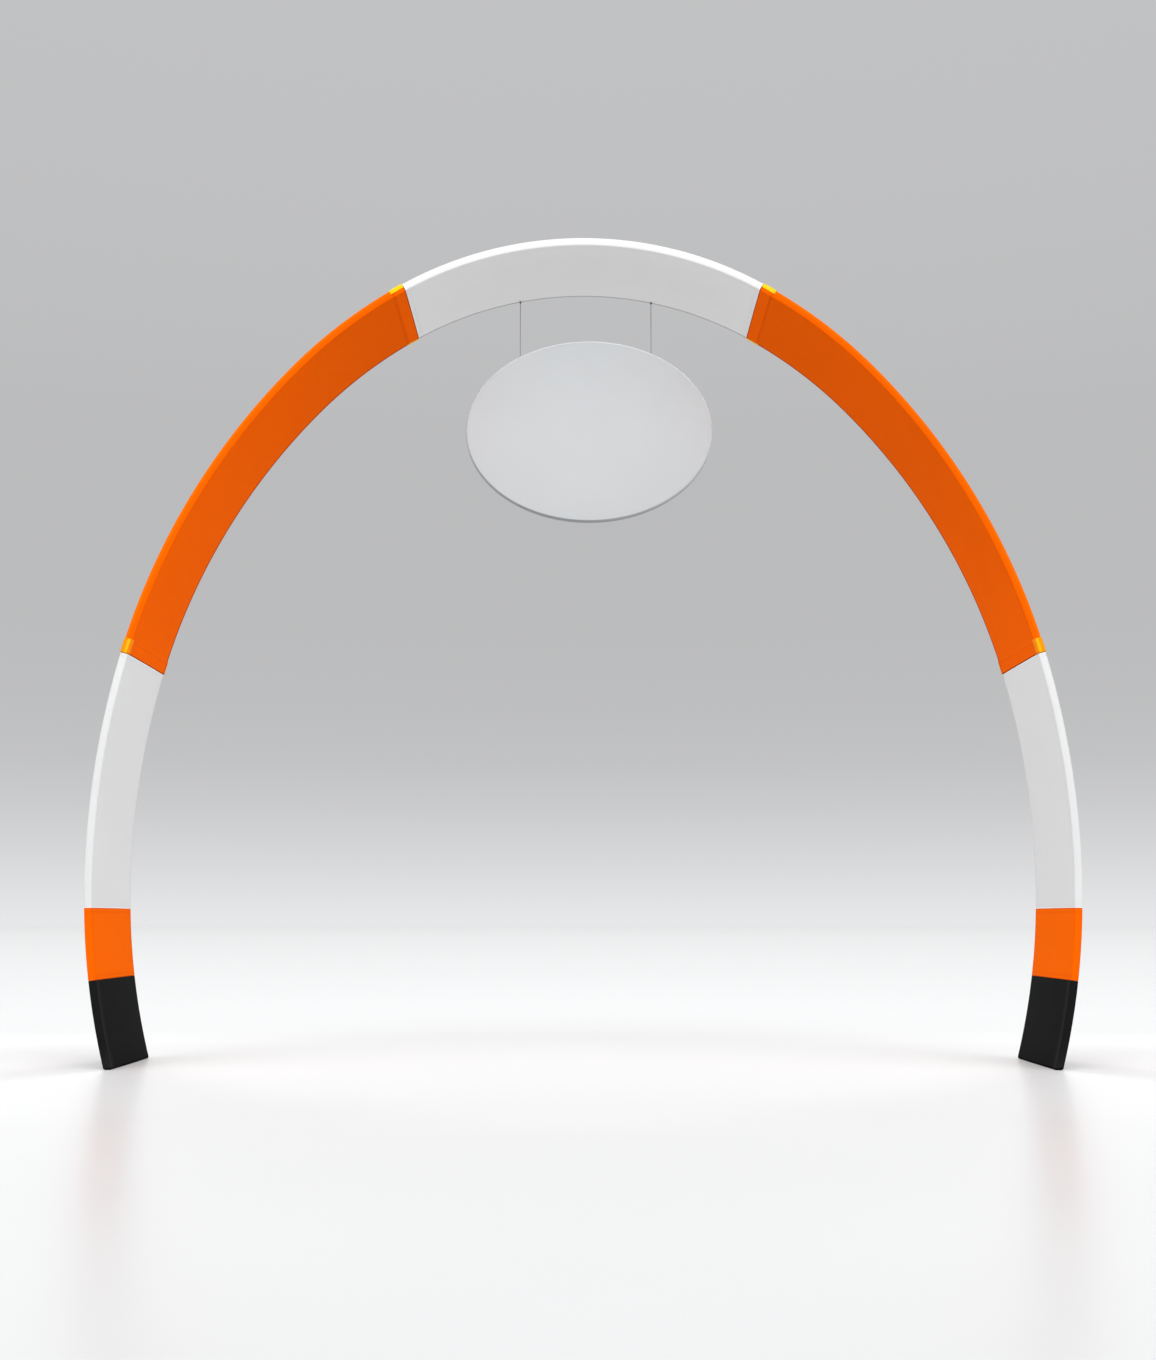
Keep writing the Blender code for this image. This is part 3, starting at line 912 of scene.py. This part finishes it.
def make_shoe(word_side):
    """The last stretch of the band: swept past the floor, cut level and rounded at the sole."""
    side = 1.0 if word_side == "right" else -1.0
    start = JOINT["foot"] + PIECE_GAP / 2
    end = ARCS[-1]["end"]
    rows = [(start + reach, grow) for reach, grow in SHOE_ROWS]
    rows += [(distance, 0.0) for distance in spaced(rows[-1][0], end, SHOE_STEP)[1:]]
    bm, table, _ = grid_cloth(len(rows), len(BAND_LOOP), ())
    for (distance, grow), line in zip(rows, table):
        for (y, inwards, out_y, out_in, _), vert in zip(BAND_LOOP, line):
            vert.co = band_point(distance, y + out_y * grow, inwards + out_in * grow, side)
    bmesh.ops.remove_doubles(bm, verts=bm.verts, dist=1e-6)
    bmesh.ops.bisect_plane(
        bm, geom=bm.verts[:] + bm.edges[:] + bm.faces[:], dist=1e-6,
        plane_co=(0.0, 0.0, 0.0), plane_no=(0.0, 0.0, -1.0), clear_outer=True)
    bmesh.ops.holes_fill(bm, edges=[edge for edge in bm.edges if edge.is_boundary], sides=0)
    bmesh.ops.recalc_face_normals(bm, faces=bm.faces)
    sole = [edge for edge in bm.edges if all(abs(v.co.z) < 1e-5 for v in edge.verts)]
    bmesh.ops.bevel(bm, geom=sole, offset=SOLE_BEVEL, offset_type="OFFSET", segments=4,
                    profile=0.5, affect="EDGES", material=-1)
    piece = add_piece("shoe_" + word_side, bm, SHOE)
    piece.data.set_sharp_from_angle(angle=math.radians(SHOE_SHARP_DEGREES))
    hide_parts("foot_" + word_side)


def make_sign():
    """An oval board: a disc of many sides, drawn out to its thickness, its edges rounded."""
    low, high = (Vector(corner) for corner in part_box("sign_board"))
    size, centre = high - low, (high + low) / 2
    bm = bmesh.new()
    bmesh.ops.create_circle(bm, cap_ends=True, radius=0.5, segments=SIGN_SIDES)
    bmesh.ops.scale(bm, vec=(size.x, size.z, 1.0), verts=bm.verts)
    drawn = bmesh.ops.extrude_face_region(bm, geom=bm.faces[:])
    moved = [item for item in drawn["geom"] if isinstance(item, bmesh.types.BMVert)]
    bmesh.ops.translate(bm, vec=(0.0, 0.0, size.y), verts=moved)
    bmesh.ops.translate(bm, vec=(0.0, 0.0, -size.y / 2), verts=bm.verts)
    bmesh.ops.recalc_face_normals(bm, faces=bm.faces)
    rims = [edge for edge in bm.edges if abs(edge.verts[0].co.z - edge.verts[1].co.z) < 1e-6]
    bmesh.ops.bevel(bm, geom=rims, offset=SIGN_BEVEL, offset_type="OFFSET", segments=5,
                    profile=0.5, affect="EDGES", material=-1)
    faces = [face for face in bm.faces if len(face.verts) >= SIGN_SIDES]
    bmesh.ops.inset_region(bm, faces=faces, thickness=SIGN_INSET)
    bmesh.ops.rotate(bm, cent=(0.0, 0.0, 0.0), matrix=Matrix.Rotation(math.pi / 2, 3, "X"),
                     verts=bm.verts)
    bmesh.ops.translate(bm, vec=centre, verts=bm.verts)
    piece = add_piece("sign_board_skin", bm, BOARD)
    piece.data.set_sharp_from_angle(angle=math.radians(SIGN_SHARP_DEGREES))
    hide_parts("sign_board")


def make_line(word_side):
    """A taut line from under its knot down to the sign board's rim, with its knot."""
    low, high = (Vector(corner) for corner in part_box("hang_line_" + word_side))
    x, y = (low.x + high.x) / 2, (low.y + high.y) / 2
    heights = spaced(high.z, low.z, LINE_STEP)
    curve = bpy.data.curves.new("line_" + word_side, "CURVE")
    curve.dimensions = "3D"
    curve.bevel_depth = LINE_DIAMETER / 2
    curve.bevel_resolution = 3
    curve.use_fill_caps = True
    spline = curve.splines.new("POLY")
    spline.points.add(len(heights) - 1)
    for point, height in zip(spline.points, heights):
        point.co = (x, y, height, 1.0)
    curve.materials.append(LINE)
    line = bpy.data.objects.new("line_" + word_side, curve)
    bpy.context.scene.collection.objects.link(line)
    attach(line, "root")
    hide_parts("hang_line_" + word_side)
    knot = make_knot(word_side)


def make_knot(word_side):
    """A round stopper knot: three plump turns of line, drawn up tight."""
    low, high = (Vector(corner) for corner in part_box("line_knot_" + word_side))
    size, centre = high - low, (high + low) / 2
    bm = bmesh.new()
    bmesh.ops.create_uvsphere(bm, u_segments=32, v_segments=24, radius=0.5)
    for vert in bm.verts:
        turn = math.atan2(vert.co.y, vert.co.x)
        wave = 0.5 + 0.5 * math.cos(KNOT_TURNS * 2.0 * math.pi * vert.co.z + turn)
        fade = max(0.0, 1.0 - (2.0 * abs(vert.co.z)) ** 3)
        waist = 1.0 - KNOT_PINCH * (1.0 - wave) * fade
        vert.co.x *= waist
        vert.co.y *= waist
    bmesh.ops.scale(bm, vec=size, verts=bm.verts)
    bmesh.ops.translate(bm, vec=centre, verts=bm.verts)
    knot = add_piece("knot_" + word_side, bm, KNOT)
    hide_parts("line_knot_" + word_side)
    return knot


# Studio

BACKDROP = (
    # degrees above the horizon, brightness
    (0.0, 0.800), (2.3, 0.680), (4.2, 0.597), (6.0, 0.539), (8.0, 0.515), (12.0, 0.498),
    (17.0, 0.497), (21.0, 0.515), (26.0, 0.527), (32.0, 0.535), (90.0, 0.560),
)
SKY_TINT = (1.0, 1.004, 1.018)
FLOOR_RADIUS = 160.0
FLOOR_SIDES = 96
NEARNESS_METRES = 8.0
# Painted light on the floor: its tone falls with distance from a point in front of the arch,
# with bands near the arch, to fade into the backdrop's horizon
FLOOR_TONES = (
    # nearness (8 m over 8 m plus the distance from the floor's middle), tone
    (0.000, 0.640), (0.048, 0.640), (0.100, 0.680), (0.242, 0.725), (0.457, 0.780),
    (0.516, 0.775), (0.552, 0.700), (0.611, 0.712), (0.661, 0.680), (0.708, 0.640),
    (0.767, 0.625), (0.820, 0.628), (0.880, 0.634), (1.000, 0.650),
)
FLOOR_MIDDLE = (0.0, -5.0, 0.0)
FLOOR_SEEN = (0.988, 1.000, 1.000)
FLOOR_BOUNCE = (0.668, 0.690, 0.693)
FLOOR_GLOSS = 0.40
FLOOR_ROUGHNESS = 0.30

# How matte the floor is: by Y in front of the hoop, then behind it, then by the distance
MATTE_LEAST, MATTE_MOST = 0.10, 0.50
GLOSSY_AT, MATTE_AT = -4.2, -0.6
FAR_FROM, FAR_TO = 0.3, 2.5
WIDE_FROM, WIDE_TO = 6.0, 10.0


def set_stops(ramp, stops):
    """Fills a colour ramp with (place, grey) pairs."""
    elements = ramp.color_ramp.elements
    for place, grey in stops[1:-1]:
        elements.new(place)
    for element, (place, grey) in zip(elements, stops):
        element.position = place
        element.color = (grey, grey, grey, 1.0)


def make_backdrop():
    """The pale studio behind: light at the horizon, a soft grey above."""
    world = bpy.data.worlds.new("studio")
    bpy.context.scene.world = world
    world.use_nodes = True
    tree = world.node_tree
    direction = new_node(tree, "ShaderNodeTexCoord").outputs["Generated"]
    split = new_node(tree, "ShaderNodeSeparateXYZ")
    feed(tree, split.inputs[0], direction)
    share = maths(tree, "DIVIDE", maths(tree, "ARCSINE", split.outputs["Z"]), math.pi / 2)
    ramp = new_node(tree, "ShaderNodeValToRGB")
    feed(tree, ramp.inputs["Fac"], share)
    set_stops(ramp, [(degrees / 90.0, grey) for degrees, grey in BACKDROP])
    cool = blend(tree, 1.0, ramp.outputs["Color"], SKY_TINT, mode="MULTIPLY")
    feed(tree, tree.nodes["Background"].inputs["Color"], cool)


def eased(tree, value, start, end, least, most):
    """A soft step from least to most, as the value goes from start to end."""
    step = new_node(tree, "ShaderNodeMapRange", interpolation_type="SMOOTHSTEP")
    feed(tree, step.inputs["Value"], value)
    feed(tree, step.inputs["From Min"], start)
    feed(tree, step.inputs["From Max"], end)
    feed(tree, step.inputs["To Min"], least)
    feed(tree, step.inputs["To Max"], most)
    return step.outputs["Result"]


def make_floor():
    """A pale floor, glossier near the camera than behind the arch and far out, its tone painted
    to fall with distance.
    """
    bm = bmesh.new()
    bmesh.ops.create_circle(bm, cap_ends=True, radius=FLOOR_RADIUS, segments=FLOOR_SIDES)
    mesh = bpy.data.meshes.new("floor")
    bm.to_mesh(mesh)
    bm.free()
    floor = bpy.data.objects.new("floor", mesh)
    bpy.context.scene.collection.objects.link(floor)
    material, tree, shader = new_material("floor", roughness=FLOOR_ROUGHNESS,
                                          specular=FLOOR_GLOSS)
    place = new_node(tree, "ShaderNodeTexCoord").outputs["Object"]
    reach = new_node(tree, "ShaderNodeVectorMath", operation="DISTANCE")
    feed(tree, reach.inputs[0], place)
    feed(tree, reach.inputs[1], FLOOR_MIDDLE)
    further = maths(tree, "ADD", reach.outputs["Value"], NEARNESS_METRES)
    near = maths(tree, "DIVIDE", NEARNESS_METRES, further)
    ramp = new_node(tree, "ShaderNodeValToRGB")
    feed(tree, ramp.inputs["Fac"], near)
    set_stops(ramp, FLOOR_TONES)
    seen = new_node(tree, "ShaderNodeLightPath").outputs["Is Camera Ray"]
    shown = blend(tree, 1.0, ramp.outputs["Color"], FLOOR_SEEN, mode="MULTIPLY")
    base = blend(tree, seen, FLOOR_BOUNCE, shown)
    feed(tree, shader.inputs["Base Color"], base)

    matte = new_node(tree, "ShaderNodeBsdfDiffuse")
    feed(tree, matte.inputs["Color"], base)
    split = new_node(tree, "ShaderNodeSeparateXYZ")
    feed(tree, split.inputs[0], place)
    near_dull = eased(tree, split.outputs["Y"], GLOSSY_AT, MATTE_AT, MATTE_LEAST, MATTE_MOST)
    far_dull = eased(tree, split.outputs["Y"], FAR_FROM, FAR_TO, 0.0, 1.0)
    wide_dull = eased(tree, reach.outputs["Value"], WIDE_FROM, WIDE_TO, 0.0, 1.0)
    dull = maths(tree, "MAXIMUM", maths(tree, "MAXIMUM", near_dull, far_dull), wide_dull)
    either = new_node(tree, "ShaderNodeMixShader")
    feed(tree, either.inputs[0], dull)
    feed(tree, either.inputs[1], shader.outputs[0])
    feed(tree, either.inputs[2], matte.outputs[0])
    feed(tree, tree.nodes["Material Output"].inputs["Surface"], either.outputs[0])
    mesh.materials.append(material)


SUN_DISTANCE = 12.0
SUNS = (
    # name, the way towards the light, how wide it is in degrees, strength
    ("left_light", (-0.664, -0.664, 0.342), 50.0, 0.220 * math.pi),
    ("right_light", (0.664, -0.664, 0.342), 50.0, 0.27 * math.pi),
    ("top_light", (0.0, -0.42, 0.91), 60.0, 0.30 * math.pi),
    ("back_left_light", (-0.38, 0.70, 0.60), 20.0, 0.22 * math.pi),
    ("back_right_light", (0.38, 0.70, 0.60), 20.0, 0.22 * math.pi),
)
CARDS = (
    # name, place, aim, width, height, power, whether only the floor's gloss sees it
    ("crown_light", (0.0, -5.0, 5.0), (0.0, 0.0, 4.0), 3.5, 1.5, 60.0, False),
    ("back_card", (0.0, 14.0, 5.0), (0.0, 0.0, 5.0), 60.0, 10.0, 480.0 * math.pi, True),
)


def add_light(name, kind, place, towards, gloss_only=False):
    """Adds a light that the camera doesn't see, aimed along a vector."""
    data = bpy.data.lights.new(name, kind)
    light = bpy.data.objects.new(name, data)
    light.location = place
    light.rotation_euler = towards.to_track_quat("-Z", "Y").to_euler()
    light.visible_camera = False
    light.visible_diffuse = not gloss_only
    bpy.context.scene.collection.objects.link(light)
    return data


def make_lights():
    for name, towards_light, width, strength in SUNS:
        way = Vector(towards_light).normalized()
        data = add_light(name, "SUN", way * SUN_DISTANCE, -way)
        data.angle = math.radians(width)
        data.energy = strength
    for name, place, aim, width, height, power, gloss_only in CARDS:
        data = add_light(name, "AREA", place, Vector(aim) - Vector(place), gloss_only)
        data.shape = "RECTANGLE"
        data.size = width
        data.size_y = height
        data.energy = power


# How dark the painted shade along the soffit's back edge is on each sleeve
CROWN_BACK_SHADE, ARM_BACK_SHADE, LEG_BACK_SHADE, CUFF_BACK_SHADE = 0.45, 0.80, 0.08, 0.20

# Tones at the start, middle and end of a sleeve: painted shade that darkens the arms at their
# upper ends and the right arm also in its middle; the legs darker from the middle down, the
# cuffs an even tone
ARM_PAINTED_SHADE = {"left": (0.90, 0.99, 1.02), "right": (0.90, 0.90, 1.00)}
LEG_TONES = (0.97, 0.94, 0.94)
CUFF_TONES = (0.965, 0.965, 0.965)

make_camera()
for word in ("left", "right"):
    make_line(word)

arm_start, arm_end = JOINT["arm_upper"], JOINT["leg"]
make_sleeve("crown_sleeve", "crown_panel", -arm_start, arm_start, 1.0, WHITE_CLOTH, CROWN_BACK_SHADE)
for word, side in (("left", -1.0), ("right", 1.0)):
    make_sleeve("arm_sleeve_" + word, "arm_panel_" + word, arm_start, arm_end, side,
                ORANGE_CLOTH, ARM_BACK_SHADE, hemmed=True, tones=ARM_PAINTED_SHADE[word])
    make_sleeve("leg_sleeve_" + word, "leg_panel_" + word, JOINT["leg"], JOINT["cuff"], side,
                WHITE_CLOTH, LEG_BACK_SHADE, tones=LEG_TONES)
    make_sleeve("cuff_sleeve_" + word, "cuff_" + word, JOINT["cuff"], JOINT["foot"], side,
                CUFF_CLOTH, CUFF_BACK_SHADE, tones=CUFF_TONES)
    make_shoe(word)
    for word_end, hem_start in (("upper", arm_start), ("lower", arm_end - HEM_LENGTH)):
        for word_edge in ("front", "back"):
            make_tab(word_end, word_edge, word, hem_start)
make_sign()

make_floor()
make_backdrop()
make_lights()

# Colours are shown as they are, with no film curve
bpy.context.scene.view_settings.view_transform = "Standard"
